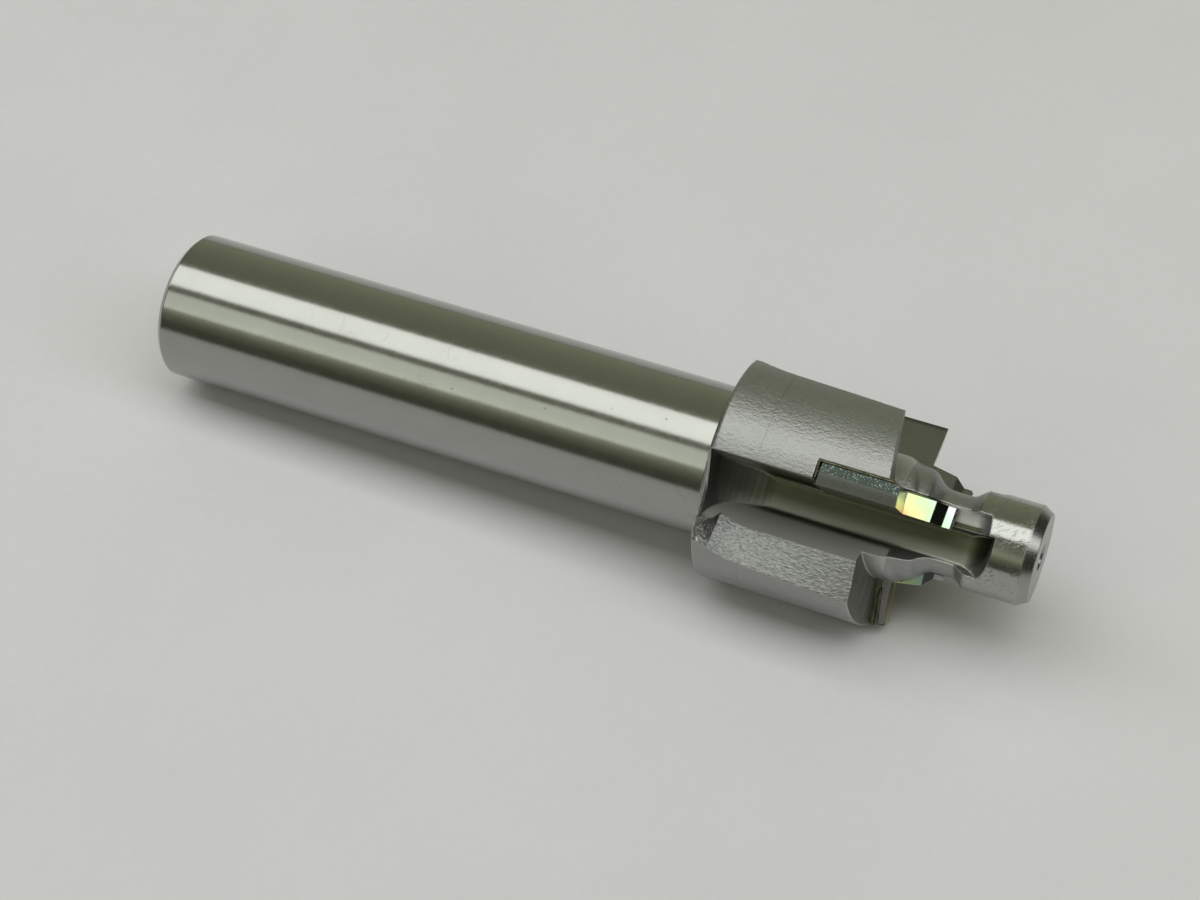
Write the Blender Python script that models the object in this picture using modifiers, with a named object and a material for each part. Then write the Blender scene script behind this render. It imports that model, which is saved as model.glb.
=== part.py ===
"""Piloted port form cutter with three brazed carbide form inserts.

The cutter is modelled upright in its own frame: the axis is Z, the plain end of
the shank is at Z = 0 and the pilot points up. The rake face of the first tooth
looks along +Y. The finished cutter is then laid down on the floor Z = 0 as it
comes to rest, on the shank's plain end, one carbide edge and one heel ridge.
"""
import math

import bmesh
import bpy
from mathutils import Matrix, Vector

MM = 0.001

# Shank
SHANK_D = 12.7
SHANK_L = 50.6
SHANK_CHAMFER = 0.45
SHANK_FILLET = 0.45
SHANK_CENTRE_D = 4.0

# Cutting form: spotface, seal cone, entry chamfer and minor diameter
CUT_D = 19.15
SEAL_D = 11.2
SEAL_L = 2.15
SEAL_ANGLE = math.radians(12.0)
MINOR_D = 8.5
MINOR_L = 0.8
ENTRY_ANGLE = math.radians(45.0)
EDGE_BREAK = 0.2

# Cutter head
HEAD_UNDER = 0.125
HEAD_D = CUT_D - 2 * HEAD_UNDER
HEAD_L = 14.7
HEAD_ROUND = 0.75
TEETH = 3

# Cam-ground relief of the round lands, in mm over the angle behind the edge
LAND_LEAD = 0.02
LAND_RELIEF = 0.25
LAND_SPAN = 60.0
LAND_RETURN = 16.0

# Pilot and the neck behind it
PILOT_D = 8.3
PILOT_L = 5.1
PILOT_CHAMFER_L = 0.85
PILOT_CHAMFER_H = 0.48
PILOT_BACK_CHAMFER = 0.85
PILOT_CENTRE_D = 2.3
NECK_D = 7.5
NECK_L = 1.75

# Carbide inserts, and the braze that holds them
INSERT_T = 1.8
INSERT_BACK_L = 6.7
INSERT_LEAD = 0.85
INSERT_RELIEF = 0.24
MARGIN_W = 1.0
MARGIN_RELIEF = 0.06
RAKE_AHEAD = 0.21
INSERT_SEAT = 3.25
BRAZE_T = 0.12
BRAZE_CLEAR = 0.05
BRAZE_SETBACK = 0.1

# Chip flutes
FLOOR_OFFSET = 1.87
FLOOR_W = 2.74
GULLET_L = 3.22
GULLET_ANGLE = math.radians(46.3)
GULLET_RISE_L = 4.1
GULLET_RISE_R = 7.6
FLUTE_FILLET = 0.5
MILL_BACK_R = 4.4
MILL_FRONT_R = 2.5
RAKE_PROUD = 0.41
RIM_L = 0.25
PILOT_BITE = 1.7

# Heel flats: share of the head's length, and the angle where they leave the round land
HEEL_RIDGE = ((-0.07, 47.0), (0.15, 54.8), (0.27, 57.2), (0.65, 60.4), (1.07, 64.2))
RIM_CORNER_X = 7.1
RIM_CORNER_Y = 3.2
RIM_RISE_L = 1.3

# Back-off of the steel form behind each tooth
RELIEF_SPAN = 72.0
FACE_RELIEF = 1.69
RADIAL_RELIEF = 0.42
STEEL_CLEAR = 0.15
LOBE_DROP = 0.6

# Facets
TURN_STEPS = 96
ROUND_STEPS = 6
RELIEF_STEP = 6.0

# Places along the axis that follow from the sizes above
HEAD_BACK = SHANK_L
HEAD_FRONT = HEAD_BACK + HEAD_L
SPOTFACE = HEAD_FRONT + INSERT_LEAD
SEAL_END = SPOTFACE + SEAL_L
SEAL_END_R = SEAL_D / 2 - SEAL_L * math.tan(SEAL_ANGLE)
MINOR_START = SEAL_END + (SEAL_END_R - MINOR_D / 2) / math.tan(ENTRY_ANGLE)
INSERT_END = MINOR_START + MINOR_L
INSERT_BACK = SPOTFACE - INSERT_BACK_L
PILOT_BACK = INSERT_END + NECK_L
PILOT_FRONT = PILOT_BACK + PILOT_L

# Planes of a tooth in its own frame
RAKE_Y = RAKE_AHEAD
WALL_Y = RAKE_Y - RAKE_PROUD
BACK_Y = RAKE_Y - INSERT_T
BRAZE_GAP = BRAZE_T + 2 * BRAZE_CLEAR
TOOTH_TURN = 2 * math.pi / TEETH
BEYOND = 0.65 * CUT_D


def clear_scene():
    for item in list(bpy.data.objects):
        bpy.data.objects.remove(item, do_unlink=True)


def new_collection(name):
    collection = bpy.data.collections.new(name)
    bpy.context.scene.collection.children.link(collection)
    return collection


def finish(name, colour, metallic, roughness):
    """A plain finish for one kind of part."""
    material = bpy.data.materials.new(name)
    material.use_nodes = True
    shader = material.node_tree.nodes["Principled BSDF"]
    shader.inputs["Base Color"].default_value = (*colour, 1.0)
    shader.inputs["Metallic"].default_value = metallic
    shader.inputs["Roughness"].default_value = roughness
    return material


def add_object(name, mesh, collection):
    item = bpy.data.objects.new(name, mesh)
    collection.objects.link(item)
    return item


def loft(name, sections, collection, ring=False):
    """Joins outlines with the same number of corners; a ring joins the last to the first."""
    bm = bmesh.new()
    rows = [[bm.verts.new(Vector(point) * MM) for point in section] for section in sections]
    pairs = list(zip(rows, rows[1:]))
    if ring:
        pairs.append((rows[-1], rows[0]))
    else:
        bm.faces.new(rows[0])
        bm.faces.new(rows[-1])
    for row, following in pairs:
        for i in range(len(row)):
            j = (i + 1) % len(row)
            bm.faces.new((row[i], row[j], following[j], following[i]))
    bmesh.ops.recalc_face_normals(bm, faces=bm.faces)
    if bm.calc_volume(signed=True) < 0:
        bmesh.ops.reverse_faces(bm, faces=bm.faces)
    mesh = bpy.data.meshes.new(name)
    bm.to_mesh(mesh)
    bm.free()
    return add_object(name, mesh, collection)


def block(name, low, high, collection, back_r=0.0, front_r=0.0):
    """A box; its two low edges along Y, back and front, may be rounded."""
    bm = bmesh.new()
    bmesh.ops.create_cube(bm, size=1.0)
    low, high = Vector(low) * MM, Vector(high) * MM
    middle, size = (low + high) / 2, high - low
    bmesh.ops.scale(bm, vec=size, verts=bm.verts)
    bmesh.ops.translate(bm, vec=middle, verts=bm.verts)
    for radius, side in ((back_r, -1), (front_r, 1)):
        if not radius:
            continue
        edges = [
            edge for edge in bm.edges
            if all(vert.co.x < middle.x and (vert.co.z - middle.z) * side > 0
                   for vert in edge.verts)
            and abs(abs(edge.verts[0].co.y - edge.verts[1].co.y) - size.y) < size.y / 100
            and abs(edge.verts[0].co.z - middle.z) > size.z * 0.49
        ]
        bmesh.ops.bevel(
            bm, geom=edges, offset=radius * MM, offset_type="OFFSET",
            segments=2 * ROUND_STEPS, profile=0.5, affect="EDGES",
        )
    mesh = bpy.data.meshes.new(name)
    bm.to_mesh(mesh)
    bm.free()
    return add_object(name, mesh, collection)


def boolean(item, cutter, operation="DIFFERENCE"):
    cut = item.modifiers.new(cutter.name, "BOOLEAN")
    cut.operation = operation
    cut.solver = "EXACT"
    cut.object = cutter


def weld(item):
    """Joins the doubled points that a row of cuts can leave where edges meet."""
    join = item.modifiers.new("Weld", "WELD")
    join.merge_threshold = 0.000002


def arc(centre, radius, start, end):
    """Points of a round corner in (radius, height), angles in degrees."""
    steps = range(ROUND_STEPS + 1)
    angles = [math.radians(start + (end - start) * step / ROUND_STEPS) for step in steps]
    return [(centre[0] + radius * math.cos(a), centre[1] + radius * math.sin(a)) for a in angles]


def blank_outline():
    """The turned blank's outline, from the pilot's centre hole to the shank's."""
    shank_r, head_r, pilot_r = SHANK_D / 2, HEAD_D / 2, PILOT_D / 2
    stock_r = SEAL_D / 2 + 0.4
    cone = math.tan(math.radians(60.0))
    pilot_hole, shank_hole = PILOT_CENTRE_D / 2, SHANK_CENTRE_D / 2
    drill = 0.4
    pilot_cone = (pilot_hole - drill * pilot_hole) * cone
    shank_cone = (shank_hole - drill * shank_hole) * cone
    return [
        (0.0, PILOT_FRONT - pilot_cone - pilot_hole),
        (drill * pilot_hole, PILOT_FRONT - pilot_cone - pilot_hole),
        (drill * pilot_hole, PILOT_FRONT - pilot_cone),
        (pilot_hole, PILOT_FRONT),
        (pilot_r - PILOT_CHAMFER_H, PILOT_FRONT),
        (pilot_r, PILOT_FRONT - PILOT_CHAMFER_L),
        (pilot_r, PILOT_BACK - PILOT_BACK_CHAMFER / 2),
        (stock_r, PILOT_BACK - PILOT_BACK_CHAMFER / 2),
        (stock_r, HEAD_FRONT + STEEL_CLEAR),
        (head_r, HEAD_FRONT + STEEL_CLEAR),
        *arc((head_r - HEAD_ROUND, HEAD_BACK + HEAD_ROUND), HEAD_ROUND, 0, -90),
        *arc((shank_r + SHANK_FILLET, HEAD_BACK - SHANK_FILLET), SHANK_FILLET, 90, 180),
        (shank_r, SHANK_CHAMFER),
        (shank_r - SHANK_CHAMFER, 0.0),
        (shank_hole, 0.0),
        (drill * shank_hole, shank_cone),
        (drill * shank_hole, shank_cone + shank_hole),
        (0.0, shank_cone + shank_hole),
    ]


def turned(name, outline, collection):
    """Turns an outline of (radius, height) round the Z axis."""
    mesh = bpy.data.meshes.new(name)
    points = [(radius * MM, 0.0, height * MM) for radius, height in outline]
    mesh.from_pydata(points, [(i, i + 1) for i in range(len(points) - 1)], [])
    item = add_object(name, mesh, collection)
    screw = item.modifiers.new("Turning", "SCREW")
    screw.steps = TURN_STEPS
    screw.render_steps = TURN_STEPS
    screw.use_merge_vertices = True
    screw.merge_threshold = 0.00001
    return item


def smooth_through(points, steps):
    """A smooth line through the given points, each a row of numbers."""
    line = []
    ends = [points[0], *points, points[-1]]
    for before, start, end, after in zip(ends, ends[1:], ends[2:], ends[3:]):
        for step in range(steps):
            t = step / steps
            line.append(tuple(
                0.5 * (2 * b + (c - a) * t + (2 * a - 5 * b + 4 * c - d) * t * t
                       + (3 * b - a - 3 * c + d) * t * t * t)
                for a, b, c, d in zip(before, start, end, after)
            ))
    return line + [points[-1]]


def steel_form():
    """The steel behind the carbide: (radius, height, axial share, radial share).

    The steps that follow the spotface and the seal cone are backed off along the
    axis as well as inwards; the neck is only backed off inwards.
    """
    core_r = SEAL_D / 2 - STEEL_CLEAR
    lobe_r = MINOR_D / 2 + LOBE_DROP
    neck_r = NECK_D / 2
    neck_start = MINOR_START - STEEL_CLEAR
    lobe_end = SEAL_END - 0.3 * SEAL_L
    return [
        (core_r, HEAD_FRONT, 1.0, 1.0),
        (core_r - 0.05, SPOTFACE + 0.25 * SEAL_L, 1.0, 1.0),
        (lobe_r + 0.25, SPOTFACE + 0.5 * SEAL_L, 0.85, 1.0),
        (lobe_r, lobe_end, 0.25, 1.0),
        ((lobe_r + neck_r) / 2 - 0.1, (lobe_end + neck_start) / 2, 0.25, 1.0),
        (neck_r + 0.05, neck_start, 0.25, 1.0),
        (neck_r, (neck_start + PILOT_BACK) / 2, 0.0, 1.0),
        (neck_r, PILOT_BACK - PILOT_BACK_CHAMFER, 0.0, 0.6),
    ]


def back_off_cutter(collection):
    """What form turning and backing off take away in front of the head."""
    form = smooth_through(steel_form(), 3)
    past_pilot = PILOT_D / 2 + 0.3
    steps = int(RELIEF_SPAN // RELIEF_STEP) + 2
    behind = [RELIEF_STEP * step for step in range(steps)]
    behind.append((behind[-1] + 120.0) / 2)
    edge_turn = math.asin(RAKE_AHEAD / (MINOR_D / 2))
    sections = []
    for tooth in reversed(range(TEETH)):
        for angle in behind:
            share = min(angle, behind[-2]) / RELIEF_SPAN
            if angle > behind[-2]:
                share = behind[-2] / RELIEF_SPAN / 2
            turn = tooth * TOOTH_TURN + edge_turn - math.radians(angle)
            profile = [
                (radius - share * radial * RADIAL_RELIEF, height - share * axial * FACE_RELIEF)
                for radius, height, axial, radial in form
            ]
            profile.insert(0, (BEYOND, profile[0][1]))
            profile.append((past_pilot, PILOT_BACK + 0.3))
            profile.append((BEYOND, PILOT_BACK + 0.3))
            sections.append([
                (radius * math.cos(turn), radius * math.sin(turn), height)
                for radius, height in profile
            ])
    return loft("cut_form", sections, collection, ring=True)


def land_radius(behind):
    """Radius of the round land at an angle in degrees behind its cutting edge."""
    return HEAD_D / 2 + LAND_LEAD - (LAND_LEAD + LAND_RELIEF) * behind / LAND_SPAN


def land_cutter(collection):
    """What cam grinding takes off the round lands, more and more towards the heel."""
    steps = TURN_STEPS // TEETH
    span = 360.0 / TEETH
    back, front = HEAD_BACK - HEAD_ROUND, HEAD_FRONT + INSERT_LEAD
    sections = []
    for tooth in reversed(range(TEETH)):
        for step in range(steps):
            behind = span * step / steps
            radius = land_radius(min(behind, (span - behind) * LAND_RETURN))
            turn = tooth * TOOTH_TURN - math.radians(behind)
            sections.append([
                (r * math.cos(turn), r * math.sin(turn), height)
                for r, height in ((radius, back), (BEYOND, back), (BEYOND, front), (radius, front))
            ])
    return loft("cut_lands", sections, collection, ring=True)


def gullet_points(height):
    """Corners of the flute in a tooth's section: root, floor's end, gullet's end.

    The gullet rises towards the head's back, along the round of its mill.
    """
    root = Vector((FLOOR_OFFSET, WALL_Y))
    slope = Vector((math.sin(GULLET_ANGLE), math.cos(GULLET_ANGLE)))
    run = max(0.0, HEAD_BACK + GULLET_RISE_L - height)
    run = min(run, 0.9 * GULLET_RISE_R)
    depth = GULLET_RISE_R - math.sqrt(GULLET_RISE_R ** 2 - run ** 2)
    bend = root + Vector((0.0, FLOOR_W - depth / slope.x))
    return root, bend, bend + slope * GULLET_L, slope


def rounded_corner(before, corner, after):
    """Points of the small fillet that the mill leaves in an inner corner of a flute."""
    into, out = (corner - before).normalized(), (after - corner).normalized()
    turn = into.angle(out)
    setback = FLUTE_FILLET * math.tan(turn / 2)
    start, end = corner - into * setback, corner + out * setback
    points = []
    for step in range(4):
        t = step / 3
        points.append(start * (1 - t) ** 2 + corner * 2 * t * (1 - t) + end * t * t)
    return points


def flute_cutter(tooth, collection):
    """The flute's section along the tooth, kept inside the path of a round mill."""
    reach = 4 * GULLET_L
    rise = GULLET_RISE_L / ROUND_STEPS
    heights = [HEAD_BACK + rise * step for step in range(ROUND_STEPS + 1)]
    sections = []
    for height in (*heights, PILOT_FRONT):
        root, foot, crest, slope = gullet_points(height)
        far = foot + slope * reach
        high = Vector((max(BEYOND, far.x), WALL_Y))
        outline = [
            *rounded_corner(high, root, foot), *rounded_corner(root, foot, far),
            far, Vector((high.x, far.y)), high,
        ]
        sections.append([(point.x, point.y, height) for point in outline])
    gullet = loft(f"cut_flute_{tooth + 1}", sections, collection)
    mill_back = HEAD_BACK + RIM_L
    mill_front = PILOT_BACK + PILOT_BITE
    path = block(
        f"cut_mill_path_{tooth + 1}",
        (FLOOR_OFFSET - FLUTE_FILLET / 50, WALL_Y - MILL_BACK_R, mill_back),
        (2 * BEYOND, WALL_Y + 2 * reach, mill_front),
        collection, back_r=MILL_BACK_R, front_r=MILL_FRONT_R,
    )
    boolean(gullet, path, "INTERSECT")
    return gullet, path


def heel_cutter(tooth, collection):
    """The flat that clears the heel of the next land, and the rim behind the flute."""
    sections = []
    for share, angle in smooth_through(HEEL_RIDGE, 4):
        turn = math.radians(angle)
        height = HEAD_BACK + share * HEAD_L
        root, bend, crest, slope = gullet_points(height)
        ridge = Vector((math.cos(turn), math.sin(turn))) * land_radius(360.0 / TEETH - angle)
        to_rim = min(1.0, max(0.0, 1.0 - (height - HEAD_BACK) / RIM_RISE_L))
        start = crest.lerp(Vector((RIM_CORNER_X, RIM_CORNER_Y)), to_rim)
        lean = ridge - start
        flat = [start + lean * reach for reach in (-0.1, 0.13, 0.37, 0.61, 0.87, 1.8)]
        far = flat[0] + slope * 4 * GULLET_L
        outline = [*flat, far, Vector((far.x, 0.0)), Vector((HEAD_D / 2 - HEAD_ROUND / 2, 0.0))]
        sections.append([(point.x, point.y, height) for point in outline])
    return loft(f"cut_heel_{tooth + 1}", sections, collection)


def pocket_cutter(tooth, collection):
    """The milled pocket that the insert and its braze sit in."""
    return block(
        f"cut_pocket_{tooth + 1}",
        (INSERT_SEAT - BRAZE_GAP, BACK_Y - BRAZE_GAP, INSERT_BACK - BRAZE_GAP),
        (BEYOND, WALL_Y + BRAZE_GAP, PILOT_BACK + 0.75 * PILOT_BITE),
        collection, front_r=PILOT_BITE,
    )


def cutting_form(shrink=0.0):
    """The cutting form as (radius, height), from the insert's back to its front."""
    cut_r, seal_r, minor_r = CUT_D / 2 - shrink, SEAL_D / 2 - shrink, MINOR_D / 2 - shrink
    spotface = SPOTFACE - shrink
    return [
        (cut_r - EDGE_BREAK, INSERT_BACK),
        (cut_r, INSERT_BACK + EDGE_BREAK),
        (cut_r, spotface),
        (seal_r, spotface),
        (SEAL_END_R - shrink, SEAL_END),
        (minor_r, MINOR_START),
        (minor_r, INSERT_END - EDGE_BREAK),
        (minor_r - EDGE_BREAK, INSERT_END),
    ]


def plate_outline(form, y, seat, back):
    """A plate's outline in the plane Y = y, cut to the form and down to its seat."""
    edge = [(math.sqrt(radius * radius - y * y), y, height) for radius, height in form]
    return [(seat, y, back), *edge, (seat, y, form[-1][1])]


def carbide_insert(tooth, collection):
    """The carbide plate: its form is backed off, its side behind a narrow margin more."""
    rake = plate_outline(cutting_form(), RAKE_Y, INSERT_SEAT, INSERT_BACK)
    back = plate_outline(cutting_form(INSERT_RELIEF), BACK_Y, INSERT_SEAT, INSERT_BACK)
    share = MARGIN_W / INSERT_T
    margin = [tuple(a + (b - a) * share for a, b in zip(*pair)) for pair in zip(rake, back)]
    for i in (1, 2, 3):
        margin[i] = (rake[i][0] - MARGIN_RELIEF, margin[i][1], margin[i][2])
    return loft(f"carbide_insert_{tooth + 1}", [rake, margin, back], collection)


def braze_form():
    """Where the braze behind the plate ends, a little inside the steel."""
    core = [(radius - RADIAL_RELIEF / 2, height) for radius, height, *shares in steel_form()]
    front = HEAD_FRONT - BRAZE_SETBACK
    land_r = HEAD_D / 2 - BRAZE_SETBACK
    seat_r = math.hypot(INSERT_SEAT, BACK_Y) + BRAZE_GAP
    near_end = [
        (radius, height) for radius, height in core
        if SPOTFACE < height < INSERT_END and radius > seat_r
    ]
    return [
        (land_r, INSERT_BACK),
        (land_r, front),
        (near_end[0][0] - BRAZE_SETBACK, front),
        *[(radius - BRAZE_SETBACK, height) for radius, height in near_end],
    ]


def braze_layer(tooth, collection, cutters):
    """The braze behind, under and at the back end of an insert, as one thin shell."""
    outer_y = BACK_Y - BRAZE_CLEAR - BRAZE_T
    inner_y = BACK_Y - BRAZE_CLEAR
    outer_x = INSERT_SEAT - BRAZE_CLEAR - BRAZE_T
    inner_x = INSERT_SEAT - BRAZE_CLEAR
    outer_z = INSERT_BACK - BRAZE_CLEAR - BRAZE_T
    inner_z = INSERT_BACK - BRAZE_CLEAR
    form = braze_form()
    sheet = [plate_outline(form, y, outer_x, outer_z) for y in (outer_y, inner_y)]
    for outline in sheet:
        outline[1] = (outline[1][0], outline[1][1], outer_z)
    layer = loft(f"braze_layer_{tooth + 1}", sheet, collection)
    floor = block(
        f"braze_floor_{tooth + 1}",
        (outer_x, outer_y, outer_z), (inner_x, WALL_Y - BRAZE_SETBACK, form[-1][1]), cutters)
    end = block(
        f"braze_end_{tooth + 1}",
        (outer_x, outer_y, outer_z), (sheet[0][1][0], WALL_Y - BRAZE_SETBACK, inner_z), cutters)
    boolean(layer, floor, "UNION")
    boolean(layer, end, "UNION")
    return layer, floor, end


def tool_body(collection, cutters):
    """The one-piece steel body: blank, form, flutes, heel flats and pockets."""
    body = turned("tool_body", blank_outline(), collection)
    boolean(body, back_off_cutter(cutters))
    boolean(body, land_cutter(cutters))
    for tooth in range(TEETH):
        flute, path = flute_cutter(tooth, cutters)
        flat = heel_cutter(tooth, cutters)
        pocket = pocket_cutter(tooth, cutters)
        for cutter in (flute, flat, pocket):
            boolean(body, cutter)
        for cutter in (flute, path, flat, pocket):
            cutter.rotation_euler.z = tooth * TOOTH_TURN
    weld(body)
    return body


def rest_pose():
    """How the cutter lies: its roll and the slope of its axis, from three contacts.

    Each head contact is a radius, an angle and a height. The floor touches it and
    the shank's plain end, so the slope that each of them asks for is the same.
    """
    edge = (CUT_D / 2, TOOTH_TURN + math.asin(RAKE_AHEAD / (CUT_D / 2)), INSERT_BACK + EDGE_BREAK)
    (low, start), (high, end) = HEEL_RIDGE[:2]
    share = (HEAD_ROUND / HEAD_L - low) / (high - low)
    heel_angle = math.radians(start + (end - start) * share)
    ridge_r = land_radius(360.0 / TEETH - math.degrees(heel_angle))
    ridge = (ridge_r, TOOTH_TURN + heel_angle, HEAD_BACK + HEAD_ROUND)
    cosine, sine, constant = 0.0, 0.0, 0.0
    for sign, (radius, angle, height) in ((1, edge), (-1, ridge)):
        span = height - SHANK_CHAMFER
        cosine += sign * radius * math.cos(angle) / span
        sine += sign * radius * math.sin(angle) / span
        constant += sign * SHANK_D / 2 / span
    middle = (edge[1] + ridge[1]) / 2
    swing = math.acos(constant / math.hypot(cosine, sine))
    rolls = [math.atan2(sine, cosine) + side * swing for side in (1, -1)]
    roll = max(rolls, key=lambda value: math.cos(value - middle))
    drop = edge[0] * math.cos(roll - edge[1]) - SHANK_D / 2
    slope = math.atan2(drop, edge[2] - SHANK_CHAMFER)
    return roll, slope


def lay_down(frame, parts):
    """Turns the frame so that the contact side is down, then sets it on the floor."""
    roll, slope = rest_pose()
    axis = Vector((math.cos(slope), 0.0, math.sin(slope)))
    down = Vector((math.sin(slope), 0.0, -math.cos(slope)))
    across = axis.cross(down)
    lie = Matrix((down, across, axis)).transposed()
    frame.rotation_euler = (lie @ Matrix.Rotation(-roll, 3, "Z")).to_euler()
    bpy.context.view_layer.update()
    depsgraph = bpy.context.evaluated_depsgraph_get()
    corners = []
    for part in parts:
        solid = part.evaluated_get(depsgraph)
        corners += [solid.matrix_world @ vert.co for vert in solid.data.vertices]
    low = Vector([min(corner[i] for corner in corners) for i in range(3)])
    high = Vector([max(corner[i] for corner in corners) for i in range(3)])
    frame.location = -Vector(((low.x + high.x) / 2, (low.y + high.y) / 2, low.z))


def build():
    clear_scene()
    parts = new_collection("port_form_cutter")
    cutters = new_collection("cutters")
    steel = finish("tool_steel", (0.42, 0.42, 0.41), 1.0, 0.38)
    carbide = finish("tungsten_carbide", (0.16, 0.17, 0.16), 1.0, 0.3)
    silver = finish("braze_alloy", (0.72, 0.64, 0.42), 1.0, 0.4)
    frame = add_object("cutter_frame", None, parts)
    body = tool_body(parts, cutters)
    body.data.materials.append(steel)
    solids = [body]
    for tooth in range(TEETH):
        insert = carbide_insert(tooth, parts)
        insert.data.materials.append(carbide)
        layer, floor, end = braze_layer(tooth, parts, cutters)
        layer.data.materials.append(silver)
        for item in (insert, layer, floor, end):
            item.rotation_euler.z = tooth * TOOTH_TURN
        solids += [insert, layer]
    for item in [*solids, *cutters.objects]:
        item.parent = frame
    for cutter in cutters.objects:
        cutter.hide_render = True
        cutter.display_type = "WIRE"
    lay_down(frame, solids)
    for solid in solids:
        solid.data.shade_smooth()
    return solids


build()
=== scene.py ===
# %% [markdown]
# # A port form cutter on a sheet of pale paper
# The cutter is one bar of hardened steel: a ground shank, a grit-blasted head with
# three straight flutes, and a ground pilot. Three carbide plates are brazed into the
# head. Its solids come ready made from the packed model, so this lesson is about the
# finish of each surface, the small beads of braze, the light and the camera.
# The model is loaded first. The dressed cutter has to stay inside that box.

# %% Load the modelled cutter
import math

import bpy
from mathutils import Matrix, Vector


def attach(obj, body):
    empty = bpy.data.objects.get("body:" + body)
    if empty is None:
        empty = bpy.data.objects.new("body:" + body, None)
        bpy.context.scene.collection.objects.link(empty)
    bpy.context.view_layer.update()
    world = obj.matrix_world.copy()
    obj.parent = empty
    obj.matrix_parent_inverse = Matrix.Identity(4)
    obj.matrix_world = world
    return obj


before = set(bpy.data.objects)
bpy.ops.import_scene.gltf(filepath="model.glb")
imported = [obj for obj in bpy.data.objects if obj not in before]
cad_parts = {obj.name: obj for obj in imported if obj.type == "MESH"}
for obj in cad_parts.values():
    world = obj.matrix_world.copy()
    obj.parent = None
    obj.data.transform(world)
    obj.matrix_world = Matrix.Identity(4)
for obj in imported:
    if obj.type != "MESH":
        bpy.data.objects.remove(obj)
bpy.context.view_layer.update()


print("nodes:", sorted(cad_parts))

# %% [markdown]
# ## The cutter's own frame
# The cutter lies a little nose-up and rolled about its axis, so no surface follows
# the world's axes. Every finish is easier to place when a point is measured along
# the cutter's axis and round it. The three directions below are the cutter's axis,
# the way from the axis to the first cutting edge, and the way in which that edge
# moves when it cuts. They start at the middle of the shank's end.
# All sizes in the finishes are millimetres, because that is how the tool is drawn.

# %% Measure in the cutter's own frame
TAIL = Vector((-0.038349, -0.000180, 0.006449))
ALONG = Vector((0.999246, 0.0, 0.038813))
ACROSS = Vector((-0.032424, -0.549657, 0.834761))
ASIDE = Vector((0.021334, -0.835391, -0.549243))

SHANK_R, LAND_R, EDGE_R, PILOT_R = 6.35, 9.45, 9.575, 4.15
HEAD_BACK, HEAD_FRONT = 50.6, 65.3
SPOTFACE, SEAL_END, MINOR_START = 66.15, 68.3, 69.19
PILOT_BACK, PILOT_FRONT = 71.74, 76.84
INSERT_BACK = 59.45
RAKE_Y, PLATE_BACK_Y = 0.21, -1.59
TEETH = 3
TOOTH_TURN = 2 * math.pi / TEETH


def place(height, x, y, tooth=0):
    """A point in metres from its height along the axis and its place beside a tooth."""
    turn = tooth * TOOTH_TURN
    across = x * math.cos(turn) - y * math.sin(turn)
    aside = x * math.sin(turn) + y * math.cos(turn)
    return TAIL + (ALONG * height + ACROSS * across + ASIDE * aside) / 1000


print("pilot's tip:", [round(v, 4) for v in place(PILOT_FRONT, 0, 0)])

# %% [markdown]
# ## Sums with shader sockets
# A finish is mostly arithmetic: how far along, how far out, how near an edge. Joined
# by hand, each sum is a node and two wires. This small class holds one socket and
# lets Python's own operators add the nodes. Numbers go through Math nodes, vectors
# through Vector Math and colours through Mix, because a Math node turns a colour grey.
# The Mix node has sockets of the same name for each kind of value, so its sockets are
# told apart by number, and the numbers get names here.

# %% A socket that Python can do sums with
MIX_SHARE, COLOUR_LOW, COLOUR_HIGH, COLOUR_OUT = 0, 6, 7, 2
VECTOR_LOW, VECTOR_HIGH, VECTOR_OUT = 4, 5, 1


class Wire:
    """One output socket of a node tree, used in Python expressions."""

    def __init__(self, nodes, socket):
        self.nodes = nodes
        self.socket = socket

    def sum(self, operation, left, right):
        kinds = {side.socket.type for side in (left, right) if isinstance(side, Wire)}
        if "RGBA" in kinds:
            settings = {"data_type": "RGBA", "blend_type": operation}
            inputs = {MIX_SHARE: 1.0, COLOUR_LOW: left, COLOUR_HIGH: right}
            return self.nodes.node("Mix", settings, inputs, COLOUR_OUT)
        kind = "VectorMath" if "VECTOR" in kinds else "Math"
        return self.nodes.node(kind, {"operation": operation}, {0: left, 1: right})

    def __add__(self, other):
        return self.sum("ADD", self, other)

    def __radd__(self, other):
        return self.sum("ADD", other, self)

    def __sub__(self, other):
        return self.sum("SUBTRACT", self, other)

    def __rsub__(self, other):
        return self.sum("SUBTRACT", other, self)

    def __mul__(self, other):
        return self.sum("MULTIPLY", self, other)

    def __rmul__(self, other):
        return self.sum("MULTIPLY", other, self)

    def __truediv__(self, other):
        return self.sum("DIVIDE", self, other)

    def __pow__(self, power):
        return self.sum("POWER", self, power)

    def larger(self, other):
        return self.sum("MAXIMUM", self, other)

    def dot(self, other):
        settings = {"operation": "DOT_PRODUCT"}
        return self.nodes.node("VectorMath", settings, {0: self, 1: other}, "Value")

    def apply(self, operation):
        """A sum of one number, such as its sine, its fraction or its size."""
        return self.nodes.node("Math", {"operation": operation}, {0: self})

    def over(self, edge, width):
        """1 where the value is above the edge, 0 below it, and a ramp between."""
        settings = {"clamp": True, "interpolation_type": "SMOOTHSTEP"}
        values = (self, edge - width / 2, edge + width / 2, 0.0, 1.0)
        return self.nodes.node("MapRange", settings, dict(enumerate(values)))

    def between(self, low, high, width):
        return self.over(low, width) * (1 - self.over(high, width))


print("operators:", [name for name in vars(Wire) if name.startswith("__r")])

# %% [markdown]
# ## Nodes through one method
# One class holds a shader's node tree and adds every node through one method, which
# takes the node's kind, its settings and what goes into its sockets. The settings
# come first, because some of them change which sockets a node has.

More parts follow.
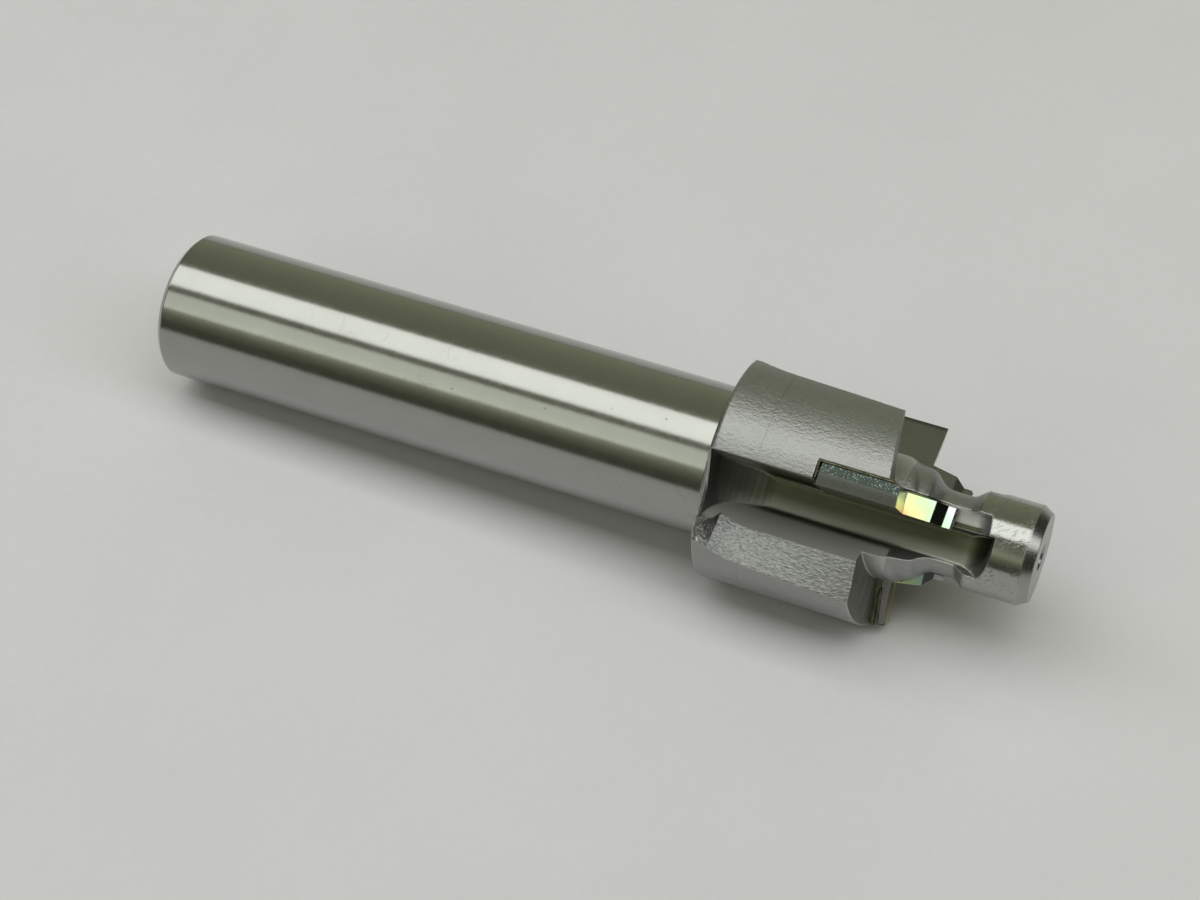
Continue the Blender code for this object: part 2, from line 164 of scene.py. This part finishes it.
# %% A tree that is filled through one method
class Nodes:
    """A shader's node tree, with one method that adds any node."""

    def __init__(self, tree):
        self.tree = tree

    def node(self, kind, settings=None, inputs=None, output=0):
        made = self.tree.nodes.new("ShaderNode" + kind)
        for name, value in (settings or {}).items():
            if name == "stops":
                self.lay_stops(made.color_ramp, value)
            else:
                setattr(made, name, value)
        for key, value in (inputs or {}).items():
            self.feed(made.inputs[key], value)
        return Wire(self, made.outputs[output])

    def lay_stops(self, ramp, stops):
        """Put a ramp's colours at their places, from 0 to 1."""
        while len(ramp.elements) < len(stops):
            ramp.elements.new(1.0)
        for element, (position, colour) in zip(ramp.elements, stops):
            element.position = position
            element.color = (*colour, 1.0)

    def feed(self, socket, value):
        """Join a wire to a socket, or set the socket's own value."""
        if isinstance(value, Wire):
            self.tree.links.new(value.socket, socket)
        elif socket.type == "RGBA" and len(value) == 3:
            socket.default_value = (*value, 1.0)
        else:
            socket.default_value = value

    def mix(self, share, low, high):
        """Low where the share is 0 and high where it is 1, for numbers or colours."""
        kind = high.socket.type if isinstance(high, Wire) else type(high).__name__
        if kind in ("RGBA", "tuple"):
            inputs = {MIX_SHARE: share, COLOUR_LOW: low, COLOUR_HIGH: high}
            return self.node("Mix", {"data_type": "RGBA"}, inputs, COLOUR_OUT)
        return low + share * (high - low)


print("methods:", [name for name in vars(Nodes) if not name.startswith("_")])

# %% [markdown]
# A finish is such a tree inside a material. It also measures the point being shaded
# in the cutter's own frame, in millimetres. It can make soft noise, tilt the shading
# with a bump, and put itself on a modelled piece.

# %% A finish with its measured point
class Finish(Nodes):
    """A procedural material that is measured in the cutter's own frame."""

    def __init__(self, name, metallic=1.0):
        self.material = bpy.data.materials.new(name)
        self.material.use_nodes = True
        super().__init__(self.material.node_tree)
        self.shader = self.tree.nodes["Principled BSDF"]
        self.set("Metallic", metallic)
        spot = self.node("TexCoord", {}, {}, "Object")
        offset = (spot - tuple(TAIL)) * (1000.0, 1000.0, 1000.0)
        self.height = offset.dot(tuple(ALONG))
        self.x = offset.dot(tuple(ACROSS))
        self.y = offset.dot(tuple(ASIDE))
        self.radius = (self.x * self.x + self.y * self.y) ** 0.5
        self.point = self.vector(self.x, self.y, self.height)

    def vector(self, x, y, z):
        return self.node("CombineXYZ", {}, {0: x, 1: y, 2: z})

    def noise(self, scale, detail=2.0, stretch=(1.0, 1.0, 1.0), rough=0.5, seed=0.0):
        """Soft lumps, so many to the millimetre, drawn out along the cutter's axes."""
        return self.noise_at(self.point * stretch, scale, detail, rough, seed)

    def noise_at(self, where, scale, detail, rough, seed):
        return self.node("TexNoise", {"noise_dimensions": "4D"}, {
            "Vector": where, "W": seed, "Scale": scale, "Detail": detail,
            "Roughness": rough})

    def set(self, name, value):
        self.feed(self.shader.inputs[name], value)

    def bump(self, relief, depth_mm, normal=None, strength=1.0):
        """Tilt the shading as if the surface rose by the relief times the depth."""
        inputs = {"Strength": strength, "Distance": depth_mm / 1000, "Height": relief}
        if normal is not None:
            inputs["Normal"] = normal
        self.set("Normal", self.node("Bump", {}, inputs))

    def paint(self, node):
        """Put this finish on a modelled piece."""
        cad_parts[node].material_slots[0].material = self.material


print("a finish can also", [name for name in vars(Finish) if not name.startswith("_")])

# %% [markdown]
# ## Soft edges and round surfaces
# The solids are made of flat facets with sharp edges. On the real cutter the blasting
# grit has rounded every edge on the head a little, and each edge carries a thin
# bright line. Bevelling the mesh would do it, but the solid must not change. The Bevel
# node rounds the shading instead. Where a surface is turned, the normal is worked out
# from the axis, so that the ground shank mirrors the room without facets.

# %% Normals for edges and turned surfaces
STEEL_EDGE, PLATE_EDGE = 0.2, 0.05
BEVEL_SAMPLES = 6
NEARLY_OUTWARD = 0.988


def unit(finish, vector):
    return finish.node("VectorMath", {"operation": "NORMALIZE"}, {0: vector})


def scaled(finish, direction, amount):
    """A fixed direction times a measured amount."""
    inputs = {0: tuple(direction), "Scale": amount}
    return finish.node("VectorMath", {"operation": "SCALE"}, inputs)


def rounded_normal(finish, edge_mm, turned):
    """The bevelled normal, made exactly radial where the surface is turned."""
    radius = {"Radius": edge_mm / 1000}
    soft = finish.node("Bevel", {"samples": BEVEL_SAMPLES}, radius)
    across, aside = scaled(finish, ACROSS, finish.x), scaled(finish, ASIDE, finish.y)
    outward = unit(finish, across + aside)
    facing = soft.dot(outward)
    share = facing.over(NEARLY_OUTWARD, 0.016) * turned
    inputs = {MIX_SHARE: share, VECTOR_LOW: soft, VECTOR_HIGH: outward}
    blend = finish.node("Mix", {"data_type": "VECTOR"}, inputs, VECTOR_OUT)
    return unit(finish, blend), soft, facing


def edge_nearness(finish, soft):
    """How near an edge is, from how far the bevelled normal leans."""
    return 1 - soft.dot(finish.node("NewGeometry", {}, {}, "True Normal"))


print("soft edges in mm:", STEEL_EDGE, "on steel and", PLATE_EDGE, "on carbide")

# %% [markdown]
# ## Steel: ground, blasted and milled
# The shank and the pilot are ground between centres. That leaves a bright surface with
# very fine rings, a few nicks and faint smudges. The head was blasted with fine grit
# after milling, so it is matte and lightly dimpled, most of all on the flats, and
# smoother down in the flutes. One finish covers the whole bar: masks from the height,
# the radius and the way a surface faces say where each treatment stops.

# %% Masks of the shank, the lands and the pilot
SHANK_FILLET, LAND_DEPTH, PILOT_BEVEL = 0.45, 0.35, 0.95

steel = Finish("hardened_tool_steel")
in_head = steel.height.between(HEAD_BACK - 0.1, HEAD_FRONT + 0.25, 0.1)
on_land = in_head * steel.radius.over(LAND_R - LAND_DEPTH, 0.1)
on_shank = 1 - steel.height.over(HEAD_BACK - SHANK_FILLET, 0.1)
past_neck = steel.height.over(PILOT_BACK - 0.5, 0.1)
on_pilot = past_neck * steel.radius.over(PILOT_R - 0.08, 0.04)
pilot_end = steel.height.over(PILOT_FRONT - PILOT_BEVEL, 0.05)
ground = on_shank.larger(on_pilot).larger(pilot_end)
shank_skin = on_shank * steel.radius.over(SHANK_R - 0.05, 0.04)
steel_normal, steel_soft, steel_facing = rounded_normal(
    steel, STEEL_EDGE, shank_skin + on_land + on_pilot)
print("steel nodes so far:", len(steel.tree.nodes))

# %% [markdown]
# The flutes are found by their depth and because their walls don't face outward. To
# tell the sides of a flute apart, the angle round the bar is folded into one tooth's
# share, and the distance beside the tooth comes from it: small at the cutting face,
# large on the flank behind the flute.

# %% Masks of the flutes
FLOOR_R, WALL_R, CORE_R = 5.2, 7.6, 3.3
BEHIND_TOOTH = 0.1

true_normal = steel.node("NewGeometry", {}, {}, "True Normal")
end_on = true_normal.dot(tuple(ALONG)).apply("ABSOLUTE").over(0.7, 0.3)
faces_aside = (1 - steel_facing.over(0.2, 0.1)) * (1 - end_on)
side_wall = (1 - steel.radius.over(WALL_R, 1.2)) * faces_aside
deep = side_wall.larger(1 - steel.radius.over(FLOOR_R, 1.0))
in_core = (1 - steel.radius.over(CORE_R, 0.4)) * (1 - ground)
in_flute = (deep * in_head).larger(in_core)
turn = steel.node("Math", {"operation": "ARCTAN2"}, {0: steel.y, 1: steel.x})
tooth_turn = (turn / TOOTH_TURN + (TEETH + BEHIND_TOOTH)).apply("FRACT") - BEHIND_TOOTH
tooth_y = steel.radius * (tooth_turn * TOOTH_TURN).apply("SINE")
print("steel nodes so far:", len(steel.tree.nodes))

# %% [markdown]
# The ground surface needs rings that run round the bar. A noise that is squeezed along
# the axis and stretched round it gives fine rings of uneven depth, which a wave pattern
# does not. Nicks are thin lines where another noise crosses its middle value, pits are
# the peaks of a finer one, and the pilot has short scrapes that slant across it.

# %% Rings, nicks and smudges of the ground steel
round_bar = steel.vector(turn, 0.0, steel.height)


def streaks(scale_turn, scale_height, detail, seed):
    """A noise drawn on the bar's unrolled surface."""
    where = round_bar * (scale_turn, 1.0, scale_height)
    return steel.noise_at(where, 1.0, detail, 0.6, seed)


def hairlines(pattern, middle, width):
    """1 on the thin lines where a pattern crosses its middle value."""
    return 1 - (pattern - middle).apply("ABSOLUTE").over(width, width)


rings = streaks(1.4, 9.0, 3.0, seed=1.0)
wide_rings = streaks(0.5, 0.6, 2.0, seed=4.0)
smudges = streaks(1.2, 0.16, 4.0, seed=7.0)
haze = steel.noise(2.2, 4.0, (1.0, 1.0, 0.6), rough=0.65, seed=15.0)
lines = steel.noise(0.45, 0.0, (1.0, 1.0, 1.6), rough=0.4, seed=3.0)
few_places = steel.noise(0.16, 1.0, seed=9.0).over(0.60, 0.03)
nicks = hairlines(lines, 0.47, 0.0007) * few_places
pits = steel.noise(3.4, 0.0, seed=19.0).over(0.88, 0.05)
slant = (steel.point + steel.vector(0.0, steel.height * 0.7, 0.0)) * (3.0, 9.0, 2.0)
scrapes = steel.noise_at(slant, 1.0, 2.0, 0.5, seed=23.0).over(0.60, 0.06)
bruises = on_pilot * scrapes * steel.noise(0.9, 1.0, seed=25.0).over(0.47, 0.15)
print("marks: haze, nicks, pits and the pilot's bruises")

# %% [markdown]
# Grit leaves dimples of two sizes on the head. The flats behind the flutes have a
# stronger grain of their own, drawn out along the axis, and the lands still show
# faint rings from turning.

# %% Dimples of the blasted head
DIMPLES, FLAT_DIMPLES = 4.6, 6.5

fine_grit = steel.noise(DIMPLES, 1.0, (1.0, 1.0, 0.7), rough=0.6, seed=11.0)
coarse_grit = steel.noise(1.9, 2.0, (1.0, 1.0, 0.6), rough=0.55, seed=13.0)
flat_grit = steel.noise(FLAT_DIMPLES, 1.0, (1.0, 1.0, 0.4), rough=0.6, seed=12.0)
blotches = steel.noise(0.35, 3.0, seed=17.0)
land_rings = on_land * streaks(0.3, 3.0, 2.0, seed=21.0)
far_out = steel.radius.over(5.6, 0.8)
on_flat = in_head * steel_facing.between(0.19, 0.72, 0.08) * far_out
grit_depth = (1 - ground) * (0.35 + 0.65 * (1 - in_flute))
print("fine dimples per mm:", DIMPLES, "and on the flats", FLAT_DIMPLES)

# %% [markdown]
# Bare steel is nearly neutral, a shade warmer where it is ground. Each flute gets a
# darker grey as painted shade, darkest in its corner at the cutting face. Its flank and
# the run-out at its back end are a dusty grey that scatters light, so they stay visible
# in the shade. Edges are brighter, partly because handling polishes them and partly as
# a painted highlight. One thin dark line runs round the lands.

# %% Colour of the steel
MATTE, WORN_HIGHLIT_EDGE = (0.355, 0.36, 0.35), (0.66, 0.66, 0.64)
BRIGHT, PILOT_BRIGHT = (0.36, 0.365, 0.345), (0.385, 0.39, 0.37)
FLUTE_SHADE_GREY, CORNER_SHADE_GREY = (0.26, 0.26, 0.235), (0.10, 0.102, 0.066)
DUSTY_GREY, FLAT_GREY = (0.50, 0.505, 0.48), (0.265, 0.27, 0.263)
FACE_GREY = (0.22, 0.22, 0.20)
CORNER_Y, FLANK_Y, RUN_OUT = 1.7, 2.9, 3.6
LINE_BACK, LINE_FRONT = 54.54, 54.66

# edges get a paler colour: partly polish from handling, partly a painted highlight
worn_and_highlit = edge_nearness(steel, steel_soft).over(0.05, 0.08)
run_out = 0.7 * (1 - steel.height.over(HEAD_BACK + RUN_OUT, 1.6))
dusty = in_flute * (1 - (1 - tooth_y.over(FLANK_Y, 0.5)) * (1 - run_out))
# painted shade: the flutes are a darker grey, darkest in the corner at the cutting face
painted_flute_shade = steel.mix(1 - tooth_y.over(CORNER_Y, 1.3), FLUTE_SHADE_GREY, CORNER_SHADE_GREY)
colour = steel.mix(in_flute, MATTE, painted_flute_shade)
for share, paint in (
    (dusty, DUSTY_GREY), (on_flat, FLAT_GREY), (end_on * in_head, FACE_GREY),
    (ground, BRIGHT), (on_pilot, PILOT_BRIGHT), (worn_and_highlit * (1 - ground) * 0.8, WORN_HIGHLIT_EDGE),
):
    colour = steel.mix(share, colour, paint)
land_line = on_land * steel.height.between(LINE_BACK, LINE_FRONT, 0.08)
shade = 0.92 + 0.12 * blotches
shade = shade + (0.06 * (smudges - 0.5) + 0.10 * (haze - 0.5)) * ground
shade = shade - (0.5 * nicks + 0.25 * pits + 0.35 * bruises) * ground
shade = shade + 0.25 * (fine_grit - 0.5) * (1 - ground) * (1 - in_flute)
shade = shade + 1.1 * (flat_grit - 0.5) * on_flat - 0.14 * land_line
grey_shade = steel.node("CombineColor", {}, {0: shade, 1: shade, 2: shade})
steel.set("Base Color", colour * grey_shade)
steel.set("Metallic", 1 - 0.5 * dusty)
print("steel nodes so far:", len(steel.tree.nodes))

# %% [markdown]
# Roughness and relief come from the same masks. Ground steel is three times as smooth
# as blasted steel, and its relief is so faint that it only frays the mirrored light.

# %% Roughness and relief of the steel
rough_blasted = 0.44 + 0.12 * (fine_grit - 0.5) - 0.06 * in_flute - 0.10 * worn_and_highlit
rough_ground = 0.15 + 0.10 * (rings - 0.5) + 0.12 * (haze - 0.5)
rough_ground = rough_ground + 0.15 * (nicks + bruises) + 0.12 * pilot_end
steel.set("Roughness", steel.mix(ground, rough_blasted, rough_ground))

blasted = (fine_grit * 0.8 + coarse_grit * 0.12) * grit_depth * (1 - 0.7 * in_flute)
polished = rings * 0.05 + wide_rings * 0.06 + haze * 0.05 - nicks * 0.3 - pits * 0.3
relief = blasted + flat_grit * on_flat * 1.1 + polished * ground
relief = relief + land_rings * 0.10 - bruises * 0.10
steel.bump(relief, depth_mm=0.05, normal=steel_normal)
steel.paint("tool_body")
print("steel nodes:", len(steel.tree.nodes))

# %% [markdown]
# ## Carbide: ground facets
# The carbide plates are diamond ground. Their cutting form catches the light like a
# mirror, and its grinding lines are so fine that they split the light into pink,
# yellow and green. The plate's outside has a smooth ground margin along the cutting
# edge and a rougher strip behind it, which shows dark blue-green with bright specks.
# The finish is made once for each tooth, so it starts with the distance across that
# tooth's own plate, and with the masks of its outside, its strip and its form.

# %% Masks of one carbide plate
MARGIN_W = 1.0


def carbide_masks(tooth):
    plate = Finish(f"ground_carbide_{tooth + 1}")
    turn = tooth * TOOTH_TURN
    plate.up = plate.y * math.cos(turn) - plate.x * math.sin(turn)
    past_form = 1 - plate.height.over(SPOTFACE - 0.1, 0.1)
    behind_rake = 1 - plate.up.over(RAKE_Y - 0.03, 0.03)
    plate.outside = plate.radius.over(EDGE_R - 0.32, 0.08) * past_form
    plate.strip = plate.outside * (1 - plate.up.over(RAKE_Y - MARGIN_W, 0.05))
    plate.form = plate.height.over(SPOTFACE - 0.12, 0.08) * behind_rake
    plate.specks = plate.noise(9.0, 1.0, (1.0, 1.0, 0.8), rough=0.6, seed=31.0 + tooth)
    plate.normal, plate.soft, _ = rounded_normal(
        plate, PLATE_EDGE, plate.outside * (1 - plate.strip))
    return plate


plates = [carbide_masks(tooth) for tooth in range(TEETH)]
print("carbide nodes so far:", len(plates[0].tree.nodes))

# %% [markdown]
# The split light is a ramp of colours that repeats along the plate and across it, a
# little disturbed by noise. The chamfer between the seal cone and the last short
# land shows none of it and gets a dark grey, a painted reflection of dark surroundings.

# %% Colour of the carbide
FACE, MARGIN, HIGHLIT_PLATE_EDGE = (0.24, 0.245, 0.22), (0.13, 0.135, 0.12), (0.55, 0.55, 0.52)
STRIP_DARK, STRIP_SPECK = (0.07, 0.09, 0.08), (0.44, 0.52, 0.49)
ENTRY_DARK_REFLECTION = (0.10, 0.11, 0.10)
RAINBOW = [
    (0.0, (0.52, 0.22, 0.17)), (0.16, (0.55, 0.42, 0.20)), (0.30, (0.56, 0.59, 0.26)),
    (0.48, (0.44, 0.61, 0.32)), (0.62, (0.42, 0.59, 0.48)), (0.78, (0.55, 0.50, 0.56)),
    (1.0, (0.52, 0.51, 0.50))]


def carbide_colour(plate):
    wander = 0.4 * plate.noise(0.7, 1.0, seed=37.0)
    bands = (plate.height - SPOTFACE) * 0.12 - plate.up * 0.10 + wander
    rainbow = plate.node("ValToRGB", {"stops": RAINBOW}, {0: bands.apply("FRACT")})
    teal = plate.mix(plate.specks.over(0.62, 0.05), STRIP_DARK, STRIP_SPECK)
    # painted reflection: the entry chamfer gets a dark grey, as if it mirrored dark
    # surroundings
    entry = plate.height.between(SEAL_END + 0.03, MINOR_START - 0.03, 0.05)
    # edges of the plate get a paler colour: partly wear, partly a painted highlight
    worn_and_highlit = edge_nearness(plate, plate.soft).over(0.06, 0.08)
    colour = plate.mix(plate.outside, FACE, MARGIN)
    for share, paint in (
        (plate.strip, teal), (plate.form, rainbow), (entry, ENTRY_DARK_REFLECTION),
        (worn_and_highlit * 0.5, HIGHLIT_PLATE_EDGE),
    ):
        colour = plate.mix(share, colour, paint)
    plate.set("Base Color", colour)


for plate in plates:
    carbide_colour(plate)
print("colours in the split light:", len(RAINBOW))

# %% [markdown]
# The form is the smoothest part of a plate and the strip the roughest. Fine grinding
# lines cross the height, so their noise is squeezed twenty to one along the axis.

# %% Roughness and relief of the carbide
def carbide_surface(plate, tooth):
    fine = plate.noise(14.0, 2.0, rough=0.6, seed=33.0 + tooth)
    lines = plate.noise(1.0, 2.0, (1.5, 1.5, 30.0), rough=0.6, seed=35.0 + tooth)
    rough = 0.26 + 0.10 * (fine - 0.5) + 0.06 * (lines - 0.5)
    plate.set("Roughness", rough + 0.22 * plate.strip - 0.08 * plate.form)
    relief = fine * 0.10 + plate.specks * plate.strip * 0.5 + lines * 0.05
    plate.bump(relief, depth_mm=0.03, normal=plate.normal)
    plate.paint(f"carbide_insert_{tooth + 1}")


for tooth, plate in enumerate(plates):
    carbide_surface(plate, tooth)
print("carbide nodes:", len(plates[0].tree.nodes))

# %% [markdown]
# ## Braze
# Silver braze holds the plates. Where it ran out it is a dull yellow-brown skin, with
# darker flux stain in places. The thin layers behind the plates are in the solids, and
# the little beads that fill the corners are added here as soft tubes.

# %% Finish of the braze
BRAZE_PALE, BRAZE_STAIN = (0.19, 0.175, 0.12), (0.12, 0.115, 0.085)
BRAZE_BRIGHT = (0.34, 0.31, 0.21)

braze = Finish("silver_braze")
stain = braze.noise(1.6, 4.0, seed=41.0)
lumps = braze.noise(4.0, 2.0, seed=43.0)
tint = braze.mix(stain.over(0.52, 0.2), BRAZE_PALE, BRAZE_STAIN)
braze.set("Base Color", braze.mix(lumps.over(0.64, 0.1) * 0.4, tint, BRAZE_BRIGHT))
braze.set("Roughness", 0.38 + 0.25 * (stain - 0.5))
braze.bump(lumps, depth_mm=0.05)
for tooth in range(TEETH):
    braze.paint(f"braze_layer_{tooth + 1}")
print("braze nodes:", len(braze.tree.nodes))

# %% [markdown]
# A bead of braze is an uneven little tube that lies half sunk in a corner. A curve with
# a round section does it: its points follow the corner, and each point has its own
# thickness. The run of thickness comes from sines, so every bead is the same each time.

# %% Lay a bead of braze along a corner
SLOW_SWELL, QUICK_SWELL = 0.22, 0.12


def bead(name, points, thickness):
    """A tube through points in metres; its thickness in mm swells and thins."""
    line = bpy.data.curves.new(name, "CURVE")
    line.dimensions = "3D"
    line.bevel_depth = 0.001  # one millimetre, times each point's own radius
    line.bevel_resolution = 3
    line.use_fill_caps = True
    spline = line.splines.new("NURBS")
    spline.points.add(len(points) - 1)
    spline.use_endpoint_u = True
    spline.order_u = 3
    for i, (point, spot) in enumerate(zip(points, spline.points)):
        spot.co = (*point, 1.0)
        slow, quick = math.sin(1.7 * i), math.sin(4.1 * i + 1.0)
        spot.radius = thickness * (1 + SLOW_SWELL * slow + QUICK_SWELL * quick)
    line.resolution_u = 6
    item = bpy.data.objects.new(name, line)
    bpy.context.scene.collection.objects.link(item)
    line.materials.append(braze.material)
    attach(item, "root")
    return item


print("a bead swells by up to", round(100 * (SLOW_SWELL + QUICK_SWELL)), "percent")

# %% [markdown]
# Each plate gets two beads. One runs along the back of its outside strip, just under
# the land, and the other goes down the front face of the head behind the plate.

# %% The beads behind each plate
EDGE_BEAD, FRONT_BEAD = 0.10, 0.12
FRONT_BEAD_END_R = 5.9


def along(start, end, steps):
    """Evenly spaced points from start to end, as (height, x, y)."""
    return [
        tuple(a + (b - a) * step / steps for a, b in zip(start, end))
        for step in range(steps + 1)
    ]


def corners_behind(y):
    """The two corners behind a plate, each with the thickness of its bead."""
    reach = math.sqrt(LAND_R ** 2 - y ** 2)
    outer = along(
        (INSERT_BACK - 0.1, reach - 0.12, y), (HEAD_FRONT + 0.1, reach - 0.12, y), 12)
    front = along(
        (HEAD_FRONT + 0.12, reach - 0.2, y - 0.05),
        (HEAD_FRONT - 0.1, FRONT_BEAD_END_R, y - 0.05), 10)
    return ("edge", outer, EDGE_BEAD), ("front", front, FRONT_BEAD)


beads = []
for tooth in range(TEETH):
    for name, corner, thickness in corners_behind(PLATE_BACK_Y - 0.1):
        spots = [place(height, x, side, tooth) for height, x, side in corner]
        beads.append(bead(f"braze_bead_{name}_{tooth + 1}", spots, thickness))
print("beads:", len(beads))

# %% [markdown]
# ## Paper, light and camera
# The cutter lies on a sheet of pale paper. The sheet is one large plane, softly
# mottled, because the picture shows no edge of it. Its own colour leans a little to
# violet, because the olive light of the room turns it warm.

# %% The sheet of paper
SHEET_HALF = 4.0
PAPER_TINT = (0.85, 0.835, 0.87)


def floor_sheet(half):
    mesh = bpy.data.meshes.new("paper")
    corners = [(-half, -half, 0), (half, -half, 0), (half, half, 0), (-half, half, 0)]
    mesh.from_pydata(corners, [], [(0, 1, 2, 3)])
    sheet = bpy.data.objects.new("paper", mesh)
    bpy.context.scene.collection.objects.link(sheet)
    return sheet


paper = Finish("pale_paper", metallic=0.0)
fibre = paper.noise(1.2, 4.0, seed=51.0)
mottle = paper.noise(0.05, 3.0, seed=53.0)
tone = 0.96 + 0.05 * (fibre - 0.5) + 0.10 * (mottle - 0.5)
paper.set("Base Color", paper.node(
    "CombineColor", {}, {i: tone * share for i, share in enumerate(PAPER_TINT)}))
paper.set("Roughness", 0.75 + 0.1 * (fibre - 0.5))
paper.bump(fibre, depth_mm=0.05, strength=0.25)
sheet = floor_sheet(SHEET_HALF)
sheet.data.materials.append(paper.material)
print("paper nodes:", len(paper.tree.nodes))

# %% [markdown]
# Polished steel shows whatever is around it, so the light is placed by what the shank
# mirrors in the picture: one long soft lamp straight above, a dimmer pale card near
# the camera, and a dark olive room elsewhere. A direction round the bar is given as an
# angle from the camera's side. A patch of the shank that is turned by half that angle
# mirrors the lamp that stands there.

# %% Lamps
VIEW_TURN = math.radians(3.6)
OVERHEAD = {"degrees": -36.5, "distance": 0.5, "shift": 0.05, "size": (2.1, 0.31),
            "radiance": 1.78, "tint": (0.99, 1.0, 0.98)}
CARD = {"degrees": 4.5, "distance": 0.7, "shift": -0.29, "size": (0.42, 0.33),
        "radiance": 0.88, "tint": (0.97, 1.0, 0.94)}


def section_direction(degrees):
    """The direction across the bar at an angle from the side that faces the camera."""
    turn = math.radians(degrees) + VIEW_TURN
    return ACROSS * math.cos(turn) + ASIDE * math.sin(turn)


def soft_lamp(name, degrees, distance, shift, size, radiance, tint):
    """A flat lamp of a given radiance; its long side runs along the bar."""
    light = bpy.data.lights.new(name, "AREA")
    light.shape = "RECTANGLE"
    light.size, light.size_y = size
    light.energy = radiance * math.pi * size[0] * size[1]
    light.color = tint
    lamp = bpy.data.objects.new(name, light)
    bpy.context.scene.collection.objects.link(lamp)
    away = section_direction(degrees)
    turn = Matrix((ALONG, away.cross(ALONG), away)).transposed()
    lamp.matrix_world = Matrix.LocRotScale(away * distance + ALONG * shift, turn, None)


soft_lamp("overhead", **OVERHEAD)
soft_lamp("card", **CARD)
print("lamps:", [light.name for light in bpy.data.lights])

# %% [markdown]
# The room is a world shader that changes with the angle round the bar, from the near
# horizon over the top to the far one: dark low down on the camera's side, a pale
# strip above that, dim and olive overhead, and brighter towards the far wall. Both
# ends of the room are darker.

# %% The room
ROOM_TINT = (0.94, 1.0, 0.68)
ROOM_LEVELS = [
    (0.0, 0.08), (0.07, 0.11), (0.13, 0.24), (0.18, 0.45), (0.26, 0.22),
    (0.38, 0.20), (0.60, 0.23), (0.80, 0.29), (1.0, 0.37)]
ROOM_MIDDLE, DIM_FROM, DIM_TO, DIM_LEVEL = -0.12, 0.36, 0.60, 0.12

world = bpy.data.worlds.new("room")
bpy.context.scene.world = world
world.use_nodes = True
room = Nodes(world.node_tree)
view = room.node("TexCoord", {}, {}, "Generated")
sideways, away, up = (view.dot(axis) for axis in ((1, 0, 0), (0, 1, 0), (0, 0, 1)))
angle = room.node("Math", {"operation": "ARCTAN2"}, {0: up, 1: away * -1.0})
stops = [(spot, tuple(c * level for c in ROOM_TINT)) for spot, level in ROOM_LEVELS]
wall = room.node("ValToRGB", {"stops": stops}, {0: angle / math.pi})
off_middle = (sideways - ROOM_MIDDLE).apply("ABSOLUTE")
dimming = (off_middle, DIM_FROM, DIM_TO, 1.0, DIM_LEVEL)
fade = room.node("MapRange", {}, dict(enumerate(dimming)))
backdrop = world.node_tree.nodes["Background"]
room.feed(backdrop.inputs["Color"], wall)
room.feed(backdrop.inputs["Strength"], fade)
print("room:", world.name, "with", len(ROOM_LEVELS), "levels")

# %% [markdown]
# The camera stands where the picture was taken from. Its place and its lens were found
# from the outline of the shank and the head in the picture.

# %% Camera
lens = bpy.data.cameras.new("camera")
lens.sensor_width = 36.0
lens.lens = 70.29
lens.clip_start = 0.01
camera = bpy.data.objects.new("camera", lens)
camera.location = (0.049506, -0.114594, 0.158927)
camera.rotation_euler = [math.radians(v) for v in (38.9113, 0.1025, 23.0326)]
bpy.context.scene.collection.objects.link(camera)
bpy.context.scene.camera = camera
bpy.context.scene.view_settings.view_transform = "Standard"
print("camera distance in mm:", round(1000 * camera.location.length))

# %% [markdown]
# The dressed cutter must stay inside the box of its solids.
